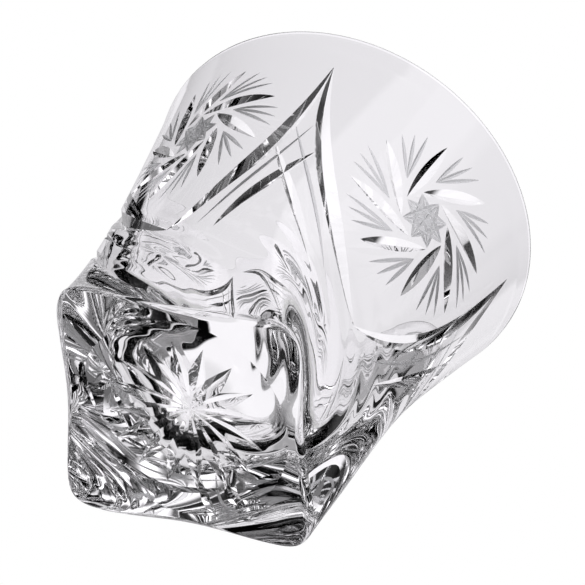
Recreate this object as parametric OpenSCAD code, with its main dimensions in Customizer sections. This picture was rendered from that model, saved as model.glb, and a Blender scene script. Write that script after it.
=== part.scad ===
// Schnapps glass: a heavy cut-crystal tumbler that twists from a square foot to a round rim.
// Millimetres. +Z runs from the foot to the rim, the foot stands on z = 0 and the axis is x = y = 0.
// The glass is one piece. Its zones are drawn as three nodes that meet face to face.

/* [Overall] */
// Outside diameter of the round rim
rim_d = 60; // [56:1:64]
// Height from the table to the top of the lip
glass_h = 61.2; // [57:0.2:66]
// Width across the straight sides of the square foot before they are hollowed
foot_w = 38.6; // [36:0.2:41]

/* [Body form] */
// Turn of the corner ridges between foot and rim, in degrees
twist_deg = 42; // [32:1:50]
// How early the turn happens: a larger value turns more near the foot
twist_ease = 3.45; // [2.5:0.05:4.5]
// How late the body widens: 1 is a straight flare
flare_ease = 1.16; // [1:0.02:1.3]
// Squareness of the foot: a larger value has sharper corners
corner_power = 12.3; // [9:0.1:15]
// How quickly the square softens into the round rim
round_ease = 0.58; // [0.48:0.02:0.7]
// Hollow of the foot's sides as a share of the half width
side_hollow = 0.045; // [0.02:0.005:0.055]
// Height where the hollow ends, as a share of the body height
hollow_top = 0.65; // [0.5:0.05:0.8]

/* [Foot] */
// Height of the solid foot
foot_h = 6; // [5.5:0.5:8]
// Bevel around the underside of the foot
foot_bevel = 1; // [0.6:0.1:1.4]
// Rays of the star cut into the underside
star_rays = 16; // [12:4:20]
// Reach of the star's rays from the axis
star_r = 12.5; // [10:0.5:13.5]
// Depth of the star's rays at the axis, below the dish
star_depth = 0.9; // [0.7:0.1:1.3]
// Half width of a ray as a multiple of its depth
star_wide = 2.2; // [1.8:0.1:2.6]
// Bow of a ray's section: near 1 it is a V, at 2 it has a round bottom
star_bow = 1.2; // [1.1:0.1:2]
// Direction of the first ray
star_turn = 15; // [0:0.5:22]
// Depth of the hollow dish in the underside
dish_depth = 1.7; // [1.2:0.1:2]
// Flat border beside the dish, at the middle of a side
stand_w = 1; // [0.8:0.1:2]

/* [Bowl] */
// Thickness of the bowl's floor above the foot
floor_t = 2.3; // [2:0.1:3.5]
// Height over which the inside rounds from the bowl-shaped floor into the wall
floor_round = 18; // [13:0.5:20]
// Wall thickness beside the floor, at the middle of a side
wall_low = 7.6; // [6.6:0.1:8.4]
// How much rounder the inside is than the outside: 1 is a round inside
cup_soft = 0.4; // [0.3:0.05:1]

/* [Rim] */
// Height of the plain round rim band
rim_h = 3; // [2.5:0.5:4.5]
// Thickness of the rounded lip
lip_t = 1.1; // [1:0.1:1.6]

/* [Cuts] */
// Half angle of the mitre cuts in the bowl
cut_angle = 56; // [52:1:62]
// Width of the long cuts that frame each shield
leg_w = 3; // [2.4:0.1:3.4]
// Width of the cuts that cross on the ridges
cross_w = 1.8; // [1.2:0.1:2.2]
// Height of the point where the framing cuts meet on a ridge, as a share of the body height
apex_at = 0.89; // [0.86:0.01:0.91]
// Height of the lower point of a shield, as a share of the body height
tip_at = 0.294; // [0.28:0.002:0.31]
// Height of the pinwheel's centre, as a share of the body height
wheel_at = 0.665; // [0.64:0.005:0.68]
// Blades in a pinwheel
blades = 8; // [6:1:9]
// Reach of the blades from the pinwheel's centre
wheel_r = 13.4; // [11:0.2:13.8]
// Radius of the plain hub inside the blades
hub_r = 4.4; // [3.6:0.2:5.2]
// Width of a blade
blade_w = 2.1; // [1.4:0.1:2.4]

/* [Hidden] */
// The lip's round centre is where the body form ends at the full rim width
body_h = glass_h - lip_t / 2;
// The bowl stops and the round band starts here
rim_z = body_h - rim_h;
floor_z = foot_h + floor_t;
dish_r = foot_w / 2 * (1 - side_hollow) - foot_bevel - stand_w;
// Points around the body, bunched toward the corner ridges
around = 72;
bunch = 6;
// The cutter's sections stand this far proud of the surface
proud = 0.5;

function clamp01(v) = max(0, min(1, v));
// Half width at the middle of a side
function half_w(z) = foot_w / 2 + (rim_d - foot_w) / 2 * pow(clamp01(z / body_h), flare_ease);
// The square's exponent falls to 2, a circle, where the rim band starts
function square_power(z) =
    1 / (1 / corner_power + (0.5 - 1 / corner_power) * pow(clamp01(z / rim_z), round_ease));
function turn(z) = -twist_deg * (1 - pow(1 - clamp01(z / body_h), twist_ease));
function hollow(z, a) = 1 - side_hollow * pow(cos(2 * a), 2) * pow(clamp01(1 - z / body_h / hollow_top), 2);
function round_square(a, p) = pow(pow(abs(cos(a)), p) + pow(abs(sin(a)), p), -1 / p);
function radius(z, a) = half_w(z) * round_square(a, square_power(z)) * hollow(z, a);
// A point of the outside, from the angle in the untwisted square and the height
function skin(a, z) = let (r = radius(z, a), t = a + turn(z)) [r * cos(t), r * sin(t), z];
function unit(v) = v / norm(v);
function outward(a, z) =
    unit(cross(skin(a + 0.4, z) - skin(a - 0.4, z), skin(a, z + 0.2) - skin(a, z - 0.2)));

// Inside of the cup: a softer square that turns with the outside and thins toward the lip
function side_wall(z) = lip_t + (wall_low - lip_t) * clamp01((body_h - z) / (body_h - floor_z));
function cup_power(z) = 1 / ((1 - cup_soft) / square_power(z) + 0.5 * cup_soft);
function cup_share(z) = sqrt(1 - pow(1 - clamp01((z - floor_z) / floor_round), 6));
// The rise of the floor at a share of the cup's radius
function floor_rise(share) = floor_round * (1 - pow(1 - share * share, 1 / 6));
function cup_r(z, a) = half_w(z) * hollow(z, a) * round_square(a, cup_power(z)) - side_wall(z);
// The floor's rings as shares of the radius, and the wall's rings as shares of the way up
cup_shares = [0.1, 0.3, 0.45, 0.6, 0.72, 0.82, 0.9, 0.95, 0.985];
cup_levels = [0.24, 0.31, 0.4, 0.52, 0.66, 0.82];

function ring_angle(i) = let (u = 360 * i / around) u + bunch * sin(4 * u);
function ring(z, inset) = [
    for (i = [0:around - 1])
        let (p = skin(ring_angle(i), z), r = norm([p[0], p[1]]))
            [p[0] * (r - inset) / r, p[1] * (r - inset) / r, z]
];

function cup_ring(z, share) = [
    for (i = [0:around - 1])
        let (a = ring_angle(i), r = cup_r(z, a) * share, t = a + turn(z)) [r * cos(t), r * sin(t), z]
];
// The rings of the cup's cutter: its last wall runs on in a straight line above the bowl
cup_side = concat(
    [for (s = cup_shares) cup_ring(floor_z + floor_rise(s), s)],
    [for (s = cup_levels) let (z = floor_z + s * (rim_z - floor_z)) cup_ring(z, cup_share(z))]
);
cup_last = cup_side[len(cup_side) - 1];
cup_top = cup_ring(rim_z, 1);
cup_end = [for (i = [0:around - 1]) cup_last[i] + 1.3 * (cup_top[i] - cup_last[i])];

// A closed skin through rings of points, with a centre point in each end
module loft(rings) {
    n = len(rings);
    m = len(rings[0]);
    low = n * m;
    high = low + 1;
    points = concat(
        [for (r = rings) for (p = r) p],
        [[0, 0, rings[0][0][2]], [0, 0, rings[n - 1][0][2]]]
    );
    faces = concat(
        [for (k = [0:n - 2]) for (i = [0:m - 1]) [k * m + i, (k + 1) * m + i, k * m + (i + 1) % m]],
        [for (k = [0:n - 2]) for (i = [0:m - 1])
            [k * m + (i + 1) % m, (k + 1) * m + i, (k + 1) * m + (i + 1) % m]],
        [for (i = [0:m - 1]) [low, i, (i + 1) % m]],
        [for (i = [0:m - 1]) [high, (n - 1) * m + (i + 1) % m, (n - 1) * m + i]]
    );
    polyhedron(points = points, faces = faces, convexity = 8);
}

// The underside's dish, and the star's rays that cross at its centre
function dish(r) = dish_depth * (1 - pow(r / dish_r, 2));

module dish_cut() {
    below = 0.5;
    points_round = 48;
    widest = dish_r * sqrt(1 + below / dish_depth);
    loft([
        for (s = [1, 0.94, 0.8, 0.66, 0.52, 0.38, 0.24, 0.1])
            [for (i = [0:points_round - 1])
                let (r = widest * s, t = 360 * i / points_round) [r * cos(t), r * sin(t), dish(r)]]
    ]);
}

// Section of a ray at a distance along its line
function ray_section(r, t) =
    let (depth = star_depth * (1 - pow(r / star_r, 2)))
        [for (u = [1.25, 0.65, 0, -0.65, -1.25])
            let (y = u * star_wide * depth, z = dish(r) + depth * (1 - pow(abs(u), star_bow)))
                [r * cos(t) - y * sin(t), r * sin(t) + y * cos(t), z]];

module star_cut() {
    stations = [-0.985, -0.85, -0.62, -0.35, 0, 0.35, 0.62, 0.85, 0.985];
    for (k = [0:star_rays / 2 - 1]) {
        sweep([for (s = stations) ray_section(s * star_r, star_turn + 360 / star_rays * k)]);
    }
    // A small flat where all the rays meet
    translate([0, 0, -1])
        cylinder(r = 0.8, h = dish_depth + star_depth + 1.02, $fn = 30);
}

// A cut's path is a curve of three points in angle and height share
function bend(c, t) = (1 - t) * (1 - t) * c[0] + 2 * t * (1 - t) * c[1] + t * t * c[2];
// Leaf shape: no depth at the ends and full depth in the middle
function leaf(t) = pow(abs(sin(180 * t)), 0.8);

// Section of a mitre cut: one point in the glass and two above the surface
function section(p, n, along, depth) =
    let (b = unit(cross(n, along)), w = (depth + proud) * tan(cut_angle))
        [p - depth * n, p + proud * n + w * b, p + proud * n - w * b];

// Sections of a mitre cut of a given width along places on the skin, each an angle and a height
function sections(places, width) =
    let (n = len(places) - 1, deep = width / 2 / tan(cut_angle), at = [for (q = places) skin(q[0], q[1])])
        [for (i = [0:n])
            let (n_out = outward(places[i][0], places[i][1]), along = at[min(n, i + 1)] - at[max(0, i - 1)])
                section(at[i], n_out, along, deep * leaf(i / n))];

// One solid through the sections, end to end
module sweep(secs) {
    n = len(secs) - 1;
    m = len(secs[0]);
    sides = [for (e = [0:m - 1]) [e, (e + 1) % m]];
    points = [for (s = secs) for (p = s) p];
    faces = concat(
        [for (i = [0:n - 1]) for (e = sides) [m * i + e[0], m * i + m + e[0], m * i + m + e[1]]],
        [for (i = [0:n - 1]) for (e = sides) [m * i + e[0], m * i + m + e[1], m * i + e[1]]],
        [[for (e = [0:m - 1]) e], [for (e = [m - 1:-1:0]) m * n + e]]
    );
    polyhedron(points = points, faces = faces, convexity = 8);
}

module bent_cut(c, width, steps, quarter) {
    places = [
        for (i = [0:steps])
            let (q = bend(c, i / steps)) [q[0] - 45 + 90 * quarter, q[1] * body_h]
    ];
    sweep(sections(places, width));
}

// A place on the skin from distances along and up the wall from a pinwheel's centre
wheel_z = wheel_at * body_h;
wheel_angle = 7;
function wheel_place(s, t, quarter) =
    let (r = radius(wheel_z, wheel_angle) + 0.2 * t, z = wheel_z + 0.98 * t)
        [wheel_angle + turn(wheel_z) + s / r * 180 / PI - turn(z) + 90 * quarter, z];

module blade(k, quarter) {
    steps = 2;
    tip = 22 + 360 / blades * k;
    root = tip + 67;
    p0 = hub_r * [cos(root), sin(root)];
    p1 = wheel_r * [cos(tip), sin(tip)];
    places = [for (i = [0:steps]) let (q = p0 + (p1 - p0) * i / steps) wheel_place(q[0], q[1], quarter)];
    hull() {
        sweep(sections(places, blade_w));
    }
}

module foot() {
    levels = [for (s = [0, 0.33, 0.66]) foot_bevel + (foot_h - foot_bevel) * s];
    color("#dfe6ea")
        difference() {
            loft(concat([ring(0, foot_bevel)], [for (z = levels) ring(z, 0)], [ring(foot_h, 0)]));
            dish_cut();
            star_cut();
        }
}

module bowl() {
    rows = 18;
    color("#e4eaee")
        difference() {
            loft([for (i = [0:rows]) ring(foot_h + (rim_z - foot_h) * i / rows, 0)]);
            loft(concat(cup_side, [cup_end]));
            for (q = [0:3]) {
                bent_cut([[1, apex_at], [2.4, 0.41], [-41.7, tip_at]], leg_w * 0.9, 8, q);
                bent_cut([[1, apex_at], [11.4, 0.41], [48.3, tip_at]], leg_w, 8, q);
                bent_cut([[9.2, 0.585], [-3.1, 0.386], [-21, 0.262]], cross_w, 5, q);
                bent_cut([[-3.8, 0.57], [6.7, 0.402], [18.5, 0.265]], cross_w, 5, q);
                for (k = [0:blades - 1]) {
                    blade(k, q);
                }
            }
        }
}

module rim() {
    lip_r = lip_t / 2;
    mid_z = (rim_z + body_h) / 2;
    color("#eef2f5")
        rotate_extrude($fn = 96)
            polygon(concat(
                [[cup_r(rim_z, 0), rim_z], [half_w(rim_z), rim_z], [half_w(mid_z), mid_z]],
                [for (a = [0:30:180]) [rim_d / 2 - lip_r + lip_r * cos(a), body_h + lip_r * sin(a)]],
                [[cup_r(mid_z, 0), mid_z]]
            ));
}

foot();
bowl();
rim();
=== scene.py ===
import math

import bpy
import numpy as np
from mathutils import Matrix, Vector


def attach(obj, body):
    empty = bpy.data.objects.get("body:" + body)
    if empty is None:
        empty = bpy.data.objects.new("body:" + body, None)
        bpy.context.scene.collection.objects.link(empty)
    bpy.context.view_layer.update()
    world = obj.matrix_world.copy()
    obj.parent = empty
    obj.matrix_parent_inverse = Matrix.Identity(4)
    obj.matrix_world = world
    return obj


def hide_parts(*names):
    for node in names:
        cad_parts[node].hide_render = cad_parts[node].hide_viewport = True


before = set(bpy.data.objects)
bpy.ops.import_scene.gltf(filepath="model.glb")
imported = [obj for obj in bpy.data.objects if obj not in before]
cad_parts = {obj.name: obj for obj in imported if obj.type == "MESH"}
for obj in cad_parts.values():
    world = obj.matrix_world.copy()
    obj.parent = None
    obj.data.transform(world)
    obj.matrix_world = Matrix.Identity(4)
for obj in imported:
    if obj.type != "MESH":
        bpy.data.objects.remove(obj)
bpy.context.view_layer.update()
scene = bpy.context.scene
MM = 0.001

# Sizes in millimetres and angles in degrees, the same as in the part's source
rim_d = 60.0
glass_h = 61.2
foot_w = 38.6
twist_deg = 42.0
twist_ease = 3.45
flare_ease = 1.16
corner_power = 12.3
round_ease = 0.58
side_hollow = 0.045
hollow_top = 0.65
foot_h = 6.0
foot_bevel = 1.0
star_rays = 16
star_r = 12.5
star_depth = 0.9
star_wide = 2.2
star_turn = 15.0
star_bow = 1.2
ray_edge = 1.25
dish_depth = 1.7
stand_w = 1.0
floor_t = 2.3
floor_round = 18.0
floor_power = 6
wall_low = 7.6
cup_soft = 0.4
rim_h = 3.0
lip_t = 1.1
cut_angle = 56.0
leaf_power = 0.8
leg_w = 3.0
cross_w = 1.8
apex_at = 0.89
tip_at = 0.294
wheel_at = 0.665
wheel_angle = 7.0
wall_out = 0.2
wall_up = 0.98
blades = 8
wheel_r = 13.4
hub_r = 4.4
blade_w = 2.1
first_tip = 22.0
blade_lean = 67.0

body_h = glass_h - lip_t / 2
rim_z = body_h - rim_h
floor_z = foot_h + floor_t
dish_r = foot_w / 2 * (1 - side_hollow) - foot_bevel - stand_w
wheel_z = wheel_at * body_h

# Detail that only the looks have: waves in the cup, fine matt lines and the small star in each pinwheel
wave_d = 0.14
wave_count = 12
wave_twist = 4
wave_lean = 0.5
wave_rise = 0.9
wave_top = 30.0
wave_fade = 12.0
line_w = 0.65
fan_in = 6.7
fan_out = 13.9
fan_start = 2.0
fan_swings = (-12.5, -21.5, -30.5)
hub_turn = 2.0
chord_r = 4.2
chord_w = 0.9
ray_r = 4.0
ray_w = 0.8

# Fineness of the mesh
around = 192
bunch = 6.0
bevel_steps = 6
wall_rows = 86
lip_steps = 12
cup_rows = 70
cup_crowd = 1.7
dish_shares = (0.08, 0.2, 0.35, 0.5, 0.65, 0.8, 0.92, 1.0)
floor_shares = (0.75, 0.45, 0.15)
leg_steps = 40
cross_steps = 24
blade_steps = 16
fan_steps = 12
hub_steps = 10
star_steps = 32
star_points = 11

# A cutter stands this far proud of the surface
proud = 0.2
# Half the distance between the samples that give a direction of the surface
near_a = 0.2
near_z = 0.1


def clamp01(v):
    return np.clip(v, 0.0, 1.0)


# The body's outside: a square that twists and softens into a circle as it rises
def half_w(z):
    return foot_w / 2 + (rim_d - foot_w) / 2 * clamp01(z / body_h) ** flare_ease


def turn(z):
    return -twist_deg * (1 - (1 - clamp01(z / body_h)) ** twist_ease)


def hollow(z, a):
    return 1 - side_hollow * np.cos(np.radians(2 * a)) ** 2 * clamp01(1 - z / body_h / hollow_top) ** 2


def square_power(z):
    return 1 / (1 / corner_power + (0.5 - 1 / corner_power) * clamp01(z / rim_z) ** round_ease)


def round_square(a, p):
    c = np.abs(np.cos(np.radians(a))) ** p + np.abs(np.sin(np.radians(a))) ** p
    return c ** (-1 / p)


def radius(z, a):
    return half_w(z) * round_square(a, square_power(z)) * hollow(z, a)


def twisted(r, a, z):
    """Points at radius r and height z, from the angle in the untwisted square."""
    t = np.radians(a + turn(z))
    return np.stack([r * np.cos(t), r * np.sin(t), z], -1)


def skin(a, z):
    a = np.asarray(a, float)
    z = np.asarray(z, float) + 0 * a
    return twisted(radius(z, a), a, z)


# The inside of the cup follows the square more softly, and its wall thins toward the lip
def side_wall(z):
    return lip_t + (wall_low - lip_t) * clamp01((body_h - z) / (body_h - floor_z))


def cup_share(z):
    return np.sqrt(1 - (1 - clamp01((z - floor_z) / floor_round)) ** floor_power)


def wave(a, z):
    """Soft waves that the press leaves in the lower inside."""
    lengthwise = np.sin(np.radians(wave_count * a) + wave_lean * z)
    upward = np.sin(wave_rise * z + np.radians(wave_twist * a))
    return wave_d * (lengthwise * upward) * clamp01((wave_top - z) / wave_fade)


def cup_skin(a, z):
    a = np.asarray(a, float)
    z = np.asarray(z, float) + 0 * a
    p = 1 / ((1 - cup_soft) / square_power(z) + 0.5 * cup_soft)
    r = half_w(z) * hollow(z, a) * round_square(a, p) - side_wall(z) + wave(a, z)
    return twisted(r * cup_share(z), a, z)


def unit(v):
    return v / np.linalg.norm(v, axis=-1, keepdims=True)


def facing_of(form, a, z):
    """The direction that a form, skin or cup_skin, faces away from the axis."""
    z = np.asarray(z)
    across = form(a + near_a, z) - form(a - near_a, z)
    up = form(a, z + near_z) - form(a, z - near_z)
    return unit(np.cross(across, up))


class Graph:
    """A cleared node tree with short calls. A value is a number or a node's output."""

    def __init__(self, tree):
        tree.nodes.clear()
        self.tree = tree

    def add(self, kind):
        return self.tree.nodes.new(kind)

    def link(self, source, target):
        self.tree.links.new(source, target)

    def math(self, operation, first, second=0.0):
        node = self.add("ShaderNodeMath")
        node.operation = operation
        for socket, value in zip(node.inputs, (first, second)):
            if isinstance(value, (int, float)):
                socket.default_value = value
            else:
                self.link(value, socket)
        return node.outputs["Value"]

    def blend(self, first, second, share):
        """First where the share is 0 and second where it is 1."""
        kept = self.math("MULTIPLY", first, self.math("SUBTRACT", 1.0, share))
        return self.math("ADD", kept, self.math("MULTIPLY", share, second))

    def step_up(self, value, low, high, start, end):
        """A soft step from start, where the value is low or less, to end, where it is high or more."""
        node = self.add("ShaderNodeMapRange")
        node.interpolation_type = "SMOOTHSTEP"
        for name, number in (("From Min", low), ("From Max", high), ("To Min", start), ("To Max", end)):
            node.inputs[name].default_value = number
        self.link(value, node.inputs["Value"])
        return node.outputs["Result"]

    def mix(self, first, second, share):
        """A shader that is first where the share is 0 and second where it is 1."""
        node = self.add("ShaderNodeMixShader")
        self.link(share, node.inputs["Fac"])
        self.link(first.outputs[0], node.inputs[1])
        self.link(second.outputs[0], node.inputs[2])
        return node

    def bent(self, path):
        """1 for rays that come from the glass, 0 for the camera's own and for plain light."""
        return self.math("MAXIMUM", path.outputs["Is Glossy Ray"], path.outputs["Is Transmission Ray"])

    def turned_back(self, path):
        """1 for rays that were reflected at least once."""
        return self.math("MINIMUM", path.outputs["Glossy Depth"], 1.0)


def node_material(name):
    material = bpy.data.materials.new(name)
    material.use_nodes = True
    return material, Graph(material.node_tree)


# Materials: clear polished crystal, and the same glass left matt by the wheel
crystal_ior = 1.545


def glass_material(name, color, roughness):
    material, graph = node_material(name)
    out = graph.add("ShaderNodeOutputMaterial")
    bsdf = graph.add("ShaderNodeBsdfPrincipled")
    bsdf.inputs["Base Color"].default_value = (*color, 1)
    bsdf.inputs["Roughness"].default_value = roughness
    bsdf.inputs["IOR"].default_value = crystal_ior
    bsdf.inputs["Transmission Weight"].default_value = 1.0
    graph.link(bsdf.outputs["BSDF"], out.inputs["Surface"])
    return material


crystal = glass_material("crystal", color=(0.985, 0.98, 0.988), roughness=0.0)
ground = glass_material("ground", color=(0.62, 0.625, 0.64), roughness=0.55)
# Material slots of the blank, of polished cuts and of matt lines
finishes = (crystal, crystal, ground)
BLANK, POLISHED, MATT = range(len(finishes))


def mesh_object(name, points, faces, finish):
    """An object from points in millimetres, with one finish all over."""
    mesh = bpy.data.meshes.new(name)
    mesh.from_pydata([tuple(v) for v in np.asarray(points) * MM], [], faces)
    for material in finishes:
        mesh.materials.append(material)
    mesh.polygons.foreach_set("material_index", [finish] * len(mesh.polygons))
    mesh.update()
    made = bpy.data.objects.new(name, mesh)
    scene.collection.objects.link(made)
    return made


# The blank: one closed skin over the foot, wall, lip and cup, with points bunched toward the corner ridges
even = 360 * np.arange(around) / around
angles = even + bunch * np.sin(np.radians(4 * even))


def dish(r):
    return dish_depth * np.maximum(0, 1 - (np.asarray(r) / dish_r) ** 2)


def round_ring(r, z, start):
    t = np.radians(angles + start)
    return np.stack([r * np.cos(t), r * np.sin(t), 0 * t + z], -1)


def blank_rings():
    """Rings of points from the middle of the dish, up the outside, over the lip and down into the cup."""
    rings = [round_ring(dish_r * s, dish(dish_r * s), 0.0) for s in dish_shares]
    for k in range(bevel_steps):
        e = math.radians(90 * k / bevel_steps)
        ring = skin(angles, foot_bevel * (1 - math.cos(e)))
        r = np.linalg.norm(ring[:, :2], axis=1, keepdims=True)
        ring[:, :2] *= (r - foot_bevel * (1 - math.sin(e))) / r
        rings.append(ring)
    rings += [skin(angles, z) for z in np.linspace(foot_bevel, body_h, wall_rows)]
    lip_r = lip_t / 2
    for k in range(1, lip_steps):
        e = math.radians(180 * k / lip_steps)
        r = rim_d / 2 - lip_r + lip_r * math.cos(e)
        rings.append(round_ring(r, body_h + lip_r * math.sin(e), turn(body_h)))
    cup_z = floor_z + (body_h - floor_z) * np.linspace(1, 0, cup_rows) ** cup_crowd
    rings += [cup_skin(angles, z) for z in cup_z[:-1]]
    for s in floor_shares:
        ring = cup_skin(angles, cup_z[-2]) * s
        ring[:, 2] = floor_z
        rings.append(ring)
    return rings


def closed_skin(rings, first, last):
    """Points and faces of a skin through the rings, closed by a point at each end."""
    points = np.concatenate(rings + [[first], [last]])
    top = (len(rings) - 1) * around
    first_index = top + around
    last_index = first_index + 1
    faces = []
    for k in range(0, top, around):
        for i in range(around):
            j = (i + 1) % around
            faces.append((k + i, k + j, k + around + j, k + around + i))
    for i in range(around):
        j = (i + 1) % around
        faces.append((first_index, j, i))
        faces.append((last_index, top + i, top + j))
    return points, faces


points, faces = closed_skin(blank_rings(), (0, 0, dish_depth), (0, 0, floor_z))
glass = mesh_object("glass", points, faces, BLANK)


# Cutters: mitre wheels leave grooves with a V section along a path on the skin
def bend(c, t):
    """Points on a curve of three control points."""
    c = np.asarray(c, float)
    t = np.asarray(t)[:, None]
    return (1 - t) ** 2 * c[0] + 2 * t * (1 - t) * c[1] + t ** 2 * c[2]


def leaf(t):
    """Depth along a groove: none at the ends and all of it in the middle."""
    return np.abs(np.sin(np.pi * t)) ** leaf_power


def groove(a, z, width):
    """Sections of a groove: one point in the glass and two above the surface."""
    p = skin(a, z)
    n = facing_of(skin, a, z)
    along = unit(np.gradient(p, axis=0))
    b = unit(np.cross(n, along))
    slope = math.tan(math.radians(cut_angle))
    depth = (width / 2 / slope * leaf(np.linspace(0, 1, len(p))))[:, None]
    w = (depth + proud) * slope
    return np.stack([p - depth * n, p + proud * n + w * b, p + proud * n - w * b], 1)


def bent_groove(c, width, steps, quarter):
    """A groove near a ridge. Its points are degrees from the ridge and shares of the body's height."""
    q = bend(c, np.linspace(0, 1, steps + 1))
    return groove(q[:, 0] - 45 + 90 * quarter, q[:, 1] * body_h, width)


def wheel_groove(start, end, width, steps, quarter):
    """A groove between two points that are along and up the wall from a pinwheel's centre."""
    t = np.linspace(0, 1, steps + 1)
    s = start[0] + (end[0] - start[0]) * t
    v = start[1] + (end[1] - start[1]) * t
    # The wall leans out and rises by these shares of the way up it
    r = float(radius(wheel_z, wheel_angle)) + wall_out * v
    z = wheel_z + wall_up * v
    a = wheel_angle + turn(wheel_z) + np.degrees(s / r) - turn(z) + 90 * quarter
    return groove(a, z, width)


def star_groove(k):
    """A ray right across the star in the dished underside, deepest at the centre."""
    # The ray stops just short of its points, where its section has no size
    reach = star_r * 0.999
    r = np.linspace(-reach, reach, star_steps + 1)
    u = np.linspace(ray_edge, -ray_edge, star_points)
    depth = (star_depth * (1 - (r / star_r) ** 2))[:, None]
    y = u * star_wide * depth
    z = dish(r)[:, None] + depth * (1 - np.abs(u) ** star_bow)
    t = math.radians(star_turn + 360 / star_rays * k)
    x = r[:, None] + 0 * y
    return np.stack([x * math.cos(t) - y * math.sin(t), x * math.sin(t) + y * math.cos(t), z], -1)


def polar(r, deg):
    return (r * math.cos(math.radians(deg)), r * math.sin(math.radians(deg)))


quarters = range(4)
cutters = []


def add_cutter(name, grooves, finish):
    """One object from a set of grooves, each a closed skin through its sections."""
    points = []
    faces = []
    for sections in grooves:
        last = len(sections) - 1
        m = len(sections[0])
        start = len(points)
        points += list(sections.reshape(-1, 3))
        for i in range(last):
            q = start + m * i
            for e in range(m):
                f = (e + 1) % m
                faces.append((q + e, q + f, q + m + f, q + m + e))
        faces.append(tuple(start + e for e in reversed(range(m))))
        faces.append(tuple(start + m * last + e for e in range(m)))
    cutters.append(mesh_object(name, points, faces, finish))


def add_wall_cut(name, c, width, steps, finish):
    add_cutter(name, [bent_groove(c, width, steps, q) for q in quarters], finish)


def add_wheel_cut(name, ends, width, steps, finish):
    """The same straight grooves, each from end to end, in all four pinwheels."""
    grooves = [wheel_groove(start, end, width, steps, q) for start, end in ends for q in quarters]
    add_cutter(name, grooves, finish)


# Legs that meet in a pointed arch over each ridge, crossed mitre cuts and fine lines between them
add_wall_cut("legs_left", [[1, apex_at], [2.4, 0.41], [-41.7, tip_at]], leg_w * 0.9, leg_steps, POLISHED)
add_wall_cut("legs_right", [[1, apex_at], [11.4, 0.41], [48.3, tip_at]], leg_w, leg_steps, POLISHED)
add_wall_cut("cross_a", [[9.2, 0.585], [-3.1, 0.386], [-21, 0.262]], cross_w, cross_steps, POLISHED)
add_wall_cut("cross_b", [[-3.8, 0.57], [6.7, 0.402], [18.5, 0.265]], cross_w, cross_steps, POLISHED)
add_wall_cut("fine_a", [[5.2, 0.672], [-4.6, 0.397], [-28, 0.283]], line_w, cross_steps, MATT)
add_wall_cut("fine_b", [[-0.8, 0.66], [13, 0.451], [25.2, 0.302]], line_w, cross_steps, MATT)

# Pinwheels: blades, a fan of fine lines behind each blade, and a small star of chords and rays in the hub
step = 360 / blades
tips = [first_tip + step * k for k in range(blades)]
ends = [(polar(hub_r, t + blade_lean), polar(wheel_r, t)) for t in tips]
add_wheel_cut("blades", ends, blade_w, blade_steps, POLISHED)
for k, swing in enumerate(fan_swings):
    ends = [(polar(fan_in, t + fan_start), polar(fan_out, t + swing)) for t in tips]
    add_wheel_cut(f"fans_{k}", ends, line_w, fan_steps, MATT)
for k in range(blades):
    point = hub_turn + step * k
    ends = [(polar(chord_r, point), polar(chord_r, point + 3 * step))]
    add_wheel_cut(f"hub_{k}", ends, chord_w, hub_steps, MATT)
for k in range(blades // 2):
    point = hub_turn + step * k
    ends = [(polar(ray_r, point), polar(ray_r, point + 180))]
    add_wheel_cut(f"hub_ray_{k}", ends, ray_w, hub_steps, MATT)

for k in range(star_rays // 2):
    add_cutter(f"star_{k}", [star_groove(k)], POLISHED)

# Cut the blank, and give the result its materials again, because the cut merges equal ones
for cutter in cutters:
    cut = glass.modifiers.new(cutter.name, "BOOLEAN")
    cut.operation = "DIFFERENCE"
    cut.solver = "MANIFOLD"
    cut.object = cutter
depsgraph = bpy.context.evaluated_depsgraph_get()
cut_mesh = bpy.data.meshes.new_from_object(glass.evaluated_get(depsgraph))
glass.modifiers.clear()
for slot, material in enumerate(finishes):
    cut_mesh.materials[slot] = material
glass.data = cut_mesh
for cutter in cutters:
    bpy.data.objects.remove(cutter)


# Normals: true ones on the smooth outside, inside and dish, and crisp facets in the cuts
def read(items, name, width, kind=float):
    """A property of a mesh's items as an array, one row for each item."""
    values = np.empty(len(items) * width, kind)
    items.foreach_get(name, values)
    return values.reshape(-1, width)


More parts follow.
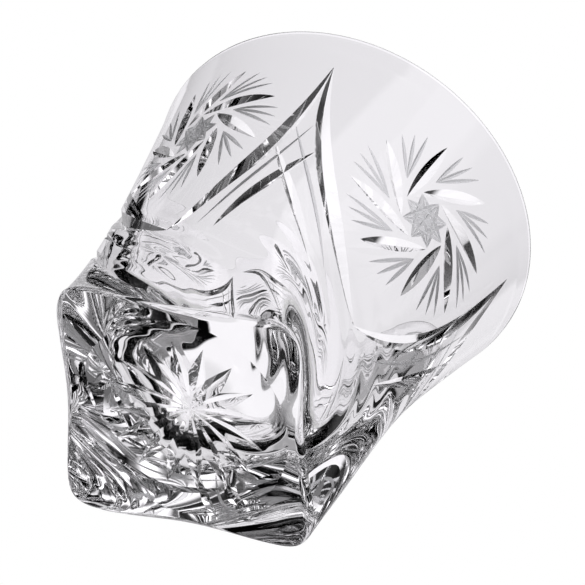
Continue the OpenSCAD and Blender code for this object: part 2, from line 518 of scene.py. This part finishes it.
def set_true_normals(mesh):
    crisp_angle = 24
    # A face points down below this, and the margins in millimetres keep a form clear of its neighbours
    down = -0.5
    lip_margin = 0.02
    floor_margin = 0.8
    dish_margin = 0.05
    top_margin = 0.1
    mesh.polygons.foreach_set("use_smooth", [True] * len(mesh.polygons))
    mesh.set_sharp_from_angle(angle=math.radians(crisp_angle))
    normals = read(mesh.corner_normals, "vector", 3)
    # Each corner's place in millimetres, and its face's centre, direction and finish
    vertex = read(mesh.loops, "vertex_index", 1, int)[:, 0]
    p = read(mesh.vertices, "co", 3)[vertex] / MM
    corners = read(mesh.polygons, "loop_total", 1, int)[:, 0]
    face = np.repeat(np.arange(len(mesh.polygons)), corners)
    centre = read(mesh.polygons, "center", 3)[face] / MM
    facing = read(mesh.polygons, "normal", 3)[face]
    plain = read(mesh.polygons, "material_index", 1, int)[face, 0] == BLANK
    outer = (facing[:, :2] * centre[:, :2]).sum(1) > 0
    # The forms end at the lip, so the samples stay below it
    a = np.degrees(np.arctan2(p[:, 1], p[:, 0])) - turn(p[:, 2])
    z = np.minimum(p[:, 2], body_h - near_z - 0.01)
    below_lip = centre[:, 2] < body_h - lip_margin
    wall = plain & outer & below_lip & (p[:, 2] > foot_bevel)
    normals[wall] = facing_of(skin, a[wall], z[wall])
    inner = plain & ~outer & below_lip & (p[:, 2] > floor_z + floor_margin)
    normals[inner] = -facing_of(cup_skin, a[inner], z[inner])
    under = plain & (facing[:, 2] < down) & (p[:, 2] < dish_depth + top_margin)
    under &= np.hypot(centre[:, 0], centre[:, 1]) < dish_r - dish_margin
    steep = -2 * dish_depth / dish_r ** 2
    normals[under] = unit(np.stack([steep * p[:, 0], steep * p[:, 1], 0 * p[:, 0] - 1], -1)[under])
    mesh.normals_split_custom_set([tuple(v) for v in normals])
    mesh.update()


set_true_normals(glass.data)

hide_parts("foot", "bowl", "rim")
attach(glass, "root")

# Camera at the photo's angle: below the foot, looking up and tilted
cam_data = bpy.data.cameras.new("camera")
cam = bpy.data.objects.new("camera", cam_data)
scene.collection.objects.link(cam)
scene.camera = cam
cam_data.lens = 557.8
cam_data.sensor_width = 36.0
cam_data.clip_start = 0.01
cam_data.clip_end = 20.0
azimuth = math.radians(31.88)
elevation = math.radians(-50.6)
roll = math.radians(37.2)
distance = 1.35
aim = Vector((-0.00457, 0.01039, 0.05144))
back = Vector((
    math.sin(azimuth) * math.cos(elevation),
    -math.cos(azimuth) * math.cos(elevation),
    math.sin(elevation),
))
turned = (-back).to_track_quat("-Z", "Y").to_matrix() @ Matrix.Rotation(roll, 3, "Z")
cam.matrix_world = Matrix.Translation(aim + back * distance) @ turned.to_4x4()

# Floor, in metres: pale with the glass's shadow, and open from below. It fades out toward its edge for the
# camera. Rays from the glass pass through it under the foot and see it darker, and black once they were
# reflected: painted shade that gives the glass its dark reflections
floor_half = 0.4
floor_drop = 0.0002
floor_grey = 0.9
bent_dim = 0.1
turned_dim = 0.8
foot_reach = (0.028, 0.03)
fade_reach = (0.08, 0.3)

floor_material, graph = node_material("floor")
out = graph.add("ShaderNodeOutputMaterial")
pale = graph.add("ShaderNodeBsdfDiffuse")
clear = graph.add("ShaderNodeBsdfTransparent")
geometry = graph.add("ShaderNodeNewGeometry")
path = graph.add("ShaderNodeLightPath")
length = graph.add("ShaderNodeVectorMath")
length.operation = "LENGTH"
graph.link(geometry.outputs["Position"], length.inputs[0])
reach = length.outputs["Value"]
bent = graph.bent(path)
# Painted shade: the floor's colour is a little darker for rays from the glass and black for rays reflected
# inside it, so the glass shows dark reflections
dim = graph.math("ADD", bent_dim, graph.math("MULTIPLY", graph.turned_back(path), turned_dim))
grey = graph.math("SUBTRACT", floor_grey, graph.math("MULTIPLY", bent, dim))
graph.link(grey, pale.inputs["Color"])
under_foot = graph.math("MULTIPLY", bent, graph.step_up(reach, *foot_reach, 1.0, 0.0))
straight = graph.math("SUBTRACT", 1.0, bent)
fade = graph.math("MULTIPLY", graph.step_up(reach, *fade_reach, 0.0, 1.0), straight)
open_part = graph.math("ADD", graph.math("ADD", geometry.outputs["Backfacing"], under_foot), fade)
mixed = graph.mix(pale, clear, graph.math("MINIMUM", open_part, 1.0))
graph.link(mixed.outputs["Shader"], out.inputs["Surface"])
floor_mesh = bpy.data.meshes.new("floor")
corners = [(floor_half * x, floor_half * y, 0) for x, y in ((-1, -1), (1, -1), (1, 1), (-1, 1))]
floor_mesh.from_pydata(corners, [], [(0, 1, 2, 3)])
floor_mesh.materials.append(floor_material)
floor = bpy.data.objects.new("floor", floor_mesh)
floor.location.z = -floor_drop
scene.collection.objects.link(floor)

# World: white for the camera and for plain light. Rays from the glass see a studio instead: a white panel
# behind it, strip lights, soft boxes and the dark gaps between them
strip_count = 9
strip_edges = (-0.7, 0.7)
strip_levels = (0.02, 0.9)
band_count = 10
band_edges = (-0.8, 1.0)
band_changes = (-0.75, 0.9)
horizon_level = 0.7
room_levels = (0.02, 0.9)
turned_loss = 0.25
room_tint = (0.985, 0.972, 1.0)
# Heights between which one part of the studio gives way to the next, as shares of straight up
overhead_from = (0.15, 0.25)
studio_from = (0.02, 0.14)
room_from = (-0.4, -0.2)
# Round areas: angle from straight ahead of the camera, bearing from its right, radius, soft edge, brightness
areas = (
    # White panel, with a dark edge at its upper left and a dimmer middle
    (0, 0, 44, 4, 1.08),
    (90, 118, 69, 2, 0.0),
    (0, 0, 12, 5, 0.9),
    # Dark gap at the right, grey one at the lower right and dark one below
    (63, 356, 25, 5, 0.0),
    (72, 322, 15, 5, 0.55),
    (58, 274, 12, 6, 0.0),
    # Soft boxes at the left and at the upper right
    (56, 158, 10, 3, 1.2),
    (92, 48, 17, 5, 1.75),
)

world = bpy.data.worlds.new("studio")
scene.world = world
world.use_nodes = True
graph = Graph(world.node_tree)
out = graph.add("ShaderNodeOutputWorld")
coord = graph.add("ShaderNodeTexCoord")
path = graph.add("ShaderNodeLightPath")
split = graph.add("ShaderNodeSeparateXYZ")
graph.link(coord.outputs["Generated"], split.inputs[0])
rise = split.outputs["Z"]
heading = graph.math("ARCTAN2", split.outputs["Y"], split.outputs["X"])
cam_right = turned.col[0]
cam_up = turned.col[1]


def ripple(count):
    """A wave from -1 to 1 with a number of peaks around the glass's axis."""
    return graph.math("SINE", graph.math("MULTIPLY", heading, float(count)))


def with_area(level, away, bearing, size, soft, value):
    """The studio's level with one round area set to a value."""
    away = math.radians(away)
    bearing = math.radians(bearing)
    sideways = cam_right * math.cos(bearing) + cam_up * math.sin(bearing)
    toward = graph.add("ShaderNodeVectorMath")
    toward.operation = "DOT_PRODUCT"
    toward.inputs[1].default_value = tuple(sideways * math.sin(away) - back * math.cos(away))
    graph.link(coord.outputs["Generated"], toward.inputs[0])
    outer_edge = math.cos(math.radians(size + soft))
    inner_edge = math.cos(math.radians(size))
    share = graph.step_up(toward.outputs["Value"], outer_edge, inner_edge, 0.0, 1.0)
    return graph.blend(level, value, share)


# Strip lights overhead, and a plain grey toward the horizon
strips = graph.step_up(ripple(strip_count), *strip_edges, *strip_levels)
level = graph.blend(horizon_level, strips, graph.step_up(rise, *overhead_from, 0.0, 1.0))
for area in areas:
    level = with_area(level, *area)
# Pale room around the horizon and almost nothing far below it
room = graph.step_up(rise, *room_from, *room_levels)
level = graph.blend(room, level, graph.step_up(rise, *studio_from, 0.0, 1.0))
# What the glass reflects inside itself is dimmer than what shows straight through it
loss = graph.math("MULTIPLY", graph.turned_back(path), turned_loss)
level = graph.math("MULTIPLY", level, graph.math("SUBTRACT", 1.0, loss))
# After two reflections the strip lights show as bright and dark bands
twice = graph.math("MAXIMUM", graph.math("SUBTRACT", path.outputs["Glossy Depth"], 1.0), 0.0)
twice = graph.math("MINIMUM", twice, 1.0)
bands = graph.step_up(ripple(band_count), *band_edges, *band_changes)
level = graph.math("MULTIPLY", level, graph.math("ADD", 1.0, graph.math("MULTIPLY", twice, bands)))
# The studio's light is a little cool
cool = graph.add("ShaderNodeVectorMath")
cool.operation = "SCALE"
cool.inputs[0].default_value = room_tint
graph.link(level, cool.inputs["Scale"])
studio = graph.add("ShaderNodeBackground")
graph.link(cool.outputs["Vector"], studio.inputs["Color"])
white = graph.add("ShaderNodeBackground")
white.inputs["Color"].default_value = (1, 1, 1, 1)
mixed = graph.mix(white, studio, graph.bent(path))
graph.link(mixed.outputs["Shader"], out.inputs["Surface"])

# Light goes through many layers of glass before it reaches the camera
scene.cycles.max_bounces = 48
scene.cycles.glossy_bounces = 32
scene.cycles.transmission_bounces = 48
scene.cycles.transparent_max_bounces = 24
scene.view_settings.view_transform = "Standard"
